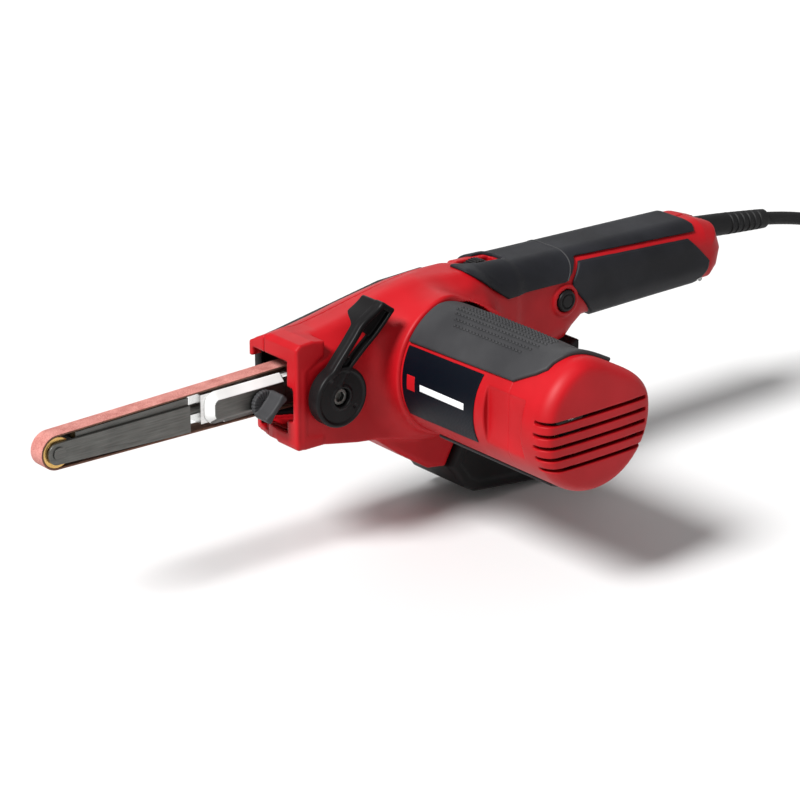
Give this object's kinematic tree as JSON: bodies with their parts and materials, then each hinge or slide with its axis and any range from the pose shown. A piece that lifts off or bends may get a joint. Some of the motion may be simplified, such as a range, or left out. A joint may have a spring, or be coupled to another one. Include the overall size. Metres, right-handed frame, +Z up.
{
  "type": "handheld belt sander",
  "caption": "Handheld finger belt sander with a slim sprung arm, cross-mounted motor housing, release lever, dust duct and rear grip with trigger and lead.",
  "frame": {"origin": "centre of the underside of the tool's own bounding box, without the free lead", "axes": "+X back along the tool from the sanding tip to the grip, +Y away from the motor, +Z up"},
  "size_m": [0.597, 0.2079, 0.1274],
  "materials": {
    "red_plastic": "satin red moulded nylon",
    "dark_rubber": "soft dark grey overmould",
    "black_plastic": "fine textured black plastic",
    "label_film": "plain dark label, no text",
    "bright_steel": "ground and polished steel",
    "dark_steel": "dark phosphated steel",
    "aluminium": "die cast",
    "brass": "yellow brass",
    "copper_wire": "lacquered copper wire",
    "carbon": "pressed carbon",
    "abrasive_cloth": "pink-brown aluminium oxide grit on cloth",
    "cord_rubber": "black rubber cord",
    "zinc_screw": "zinc plated"
  },
  "bodies": {
    "housing": {"main_shell_near": "red_plastic", "main_shell_far": "red_plastic", "housing_screws": "zinc_screw", "motor_housing": "red_plastic", "label_plate": "label_film", "motor_grip": "dark_rubber", "motor_bottom_strip": "dark_rubber", "motor_end_cap": "red_plastic", "handle_grip_top": "dark_rubber", "handle_pad_near": "dark_rubber", "handle_pad_far": "dark_rubber", "dust_adapter": "black_plastic", "stator_core": "dark_steel", "stator_windings": "copper_wire", "brush_holders": "brass", "carbon_brushes": "carbon", "motor_front_bearing": "bright_steel", "motor_rear_bearing": "bright_steel", "roller_bearings": "bright_steel", "bearing_plate": "aluminium", "roller_support": "aluminium", "rear_bearing_bridge": "black_plastic", "arm_guide": "aluminium", "trigger_pin": "bright_steel", "switch_module": "black_plastic", "trigger_spring": "bright_steel", "speed_module": "black_plastic", "cord_sleeve": "cord_rubber", "cord": "cord_rubber", "cord_tail": "cord_rubber", "cord_coil": "cord_rubber", "plug_body": "cord_rubber", "plug_pins": "bright_steel", "sanding_belt": "abrasive_cloth"},
    "rotor": {"armature_shaft": "bright_steel", "armature_core": "dark_steel", "commutator": "copper_wire", "fan": "black_plastic", "motor_pinion": "bright_steel"},
    "roller_drive": {"drive_shaft": "bright_steel", "drive_roller": "dark_rubber", "drive_gear": "bright_steel"},
    "cover": {"belt_cover": "black_plastic"},
    "arm": {"arm_carrier": "bright_steel", "carrier_plate": "dark_steel", "tracking_screw": "bright_steel", "tension_spring": "bright_steel"},
    "fork": {"fork_plate_near": "dark_steel", "fork_plate_far": "dark_steel", "platen": "dark_steel", "fork_rod": "dark_steel", "tip_axle": "bright_steel"},
    "tip_wheel": {"tip_roller": "brass"},
    "adjuster": {"tracking_knob": "black_plastic"},
    "lever": {"release_lever": "black_plastic", "lever_screw": "zinc_screw", "release_cam": "bright_steel"},
    "switch_paddle": {"trigger": "black_plastic"},
    "lock_pin": {"lock_button": "black_plastic"},
    "dial": {"speed_dial": "black_plastic"}
  },
  "joints": [
    {"name": "rotor_spin", "type": "hinge", "parent": "housing", "child": "rotor", "pos_m": [0.00591, 0.00025, 0.0885], "axis": [0, 1, 0], "continuous": true},
    {"name": "roller_spin", "type": "hinge", "parent": "housing", "child": "roller_drive", "pos_m": [0.03274, 0.05025, 0.0855], "axis": [0, 1, 0], "continuous": true},
    {"name": "arm_slide", "type": "slide", "parent": "housing", "child": "arm", "axis": [1, 0, 0], "range_m": [0, 0.008]},
    {"name": "release_turn", "type": "hinge", "parent": "housing", "child": "lever", "pos_m": [-0.06051, 0.04025, 0.086], "axis": [0, -1, 0], "range_deg": [0, 90]},
    {"name": "fork_slide", "type": "slide", "parent": "arm", "child": "fork", "axis": [1, 0, 0], "range_m": [0, 0.005], "stiffness_N_per_m": 2000, "springref_m": -0.005, "deforming": ["tension_spring"]},
    {"name": "tip_spin", "type": "hinge", "parent": "fork", "child": "tip_wheel", "pos_m": [-0.20151, 0.06025, 0.0855], "axis": [0, 1, 0], "continuous": true},
    {"name": "tracking_turn", "type": "hinge", "parent": "arm", "child": "adjuster", "pos_m": [-0.08901, 0.04825, 0.083], "axis": [0, 1, 0], "range_deg": [-180, 180]},
    {"name": "trigger_squeeze", "type": "hinge", "parent": "housing", "child": "switch_paddle", "pos_m": [0.19049, 0.06025, 0.0858], "axis": [0, 1, 0], "range_deg": [0, 3], "stiffness_Nm_per_rad": 3, "springref_deg": -1.72, "deforming": ["trigger_spring"]},
    {"name": "lock_press", "type": "slide", "parent": "housing", "child": "lock_pin", "axis": [0, 1, 0], "range_m": [0, 0.003], "stiffness_N_per_m": 300, "springref_m": -0.002},
    {"name": "dial_turn", "type": "hinge", "parent": "housing", "child": "dial", "pos_m": [0.05109, 0.06025, 0.112], "axis": [0, 1, 0], "range_deg": [0, 270]},
    {"name": "cover_off", "type": "slide", "parent": "housing", "child": "cover", "axis": [0, 1, 0], "range_m": [0, 0.04]}
  ],
  "couplings": [
    {"joint": "roller_spin", "follows": "rotor_spin", "ratio": -0.5},
    {"joint": "tip_spin", "follows": "rotor_spin", "ratio": -0.78125},
    {"joint": "release_turn", "follows": "arm_slide", "rad_per_m": 196.35}
  ]
}
